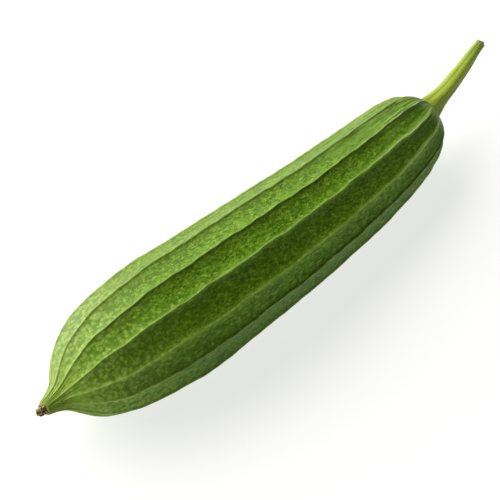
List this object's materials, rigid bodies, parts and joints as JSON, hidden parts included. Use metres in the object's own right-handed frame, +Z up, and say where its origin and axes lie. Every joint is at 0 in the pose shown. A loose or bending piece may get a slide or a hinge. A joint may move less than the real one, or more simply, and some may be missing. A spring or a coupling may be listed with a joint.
{
  "type": "ridge gourd",
  "caption": "Long green ridged gourd with hollow flutes between its ridges, a tapered blossom end and a short cut stalk, lying on its side.",
  "frame": {"origin": "on the surface that the gourd lies on, under the middle of the whole object's box", "axes": "+X along the gourd from the withered flower to the stalk, +Z up"},
  "size_m": [0.2908, 0.0596, 0.0569],
  "materials": {
    "fruit_skin": "waxy green skin, mottled light and dark in the flutes, paler and yellower on the ridges and the blossom end, soft sheen",
    "stalk": "fresh yellow-green stem, faintly ribbed and streaked lengthwise, satin",
    "withered_flower": "dry brown crumpled flower remnant, matt, with pale edges"
  },
  "bodies": {
    "root": {"fruit": "fruit_skin", "stalk": "stalk", "flower_remnant": "withered_flower"}
  },
  "joints": []
}
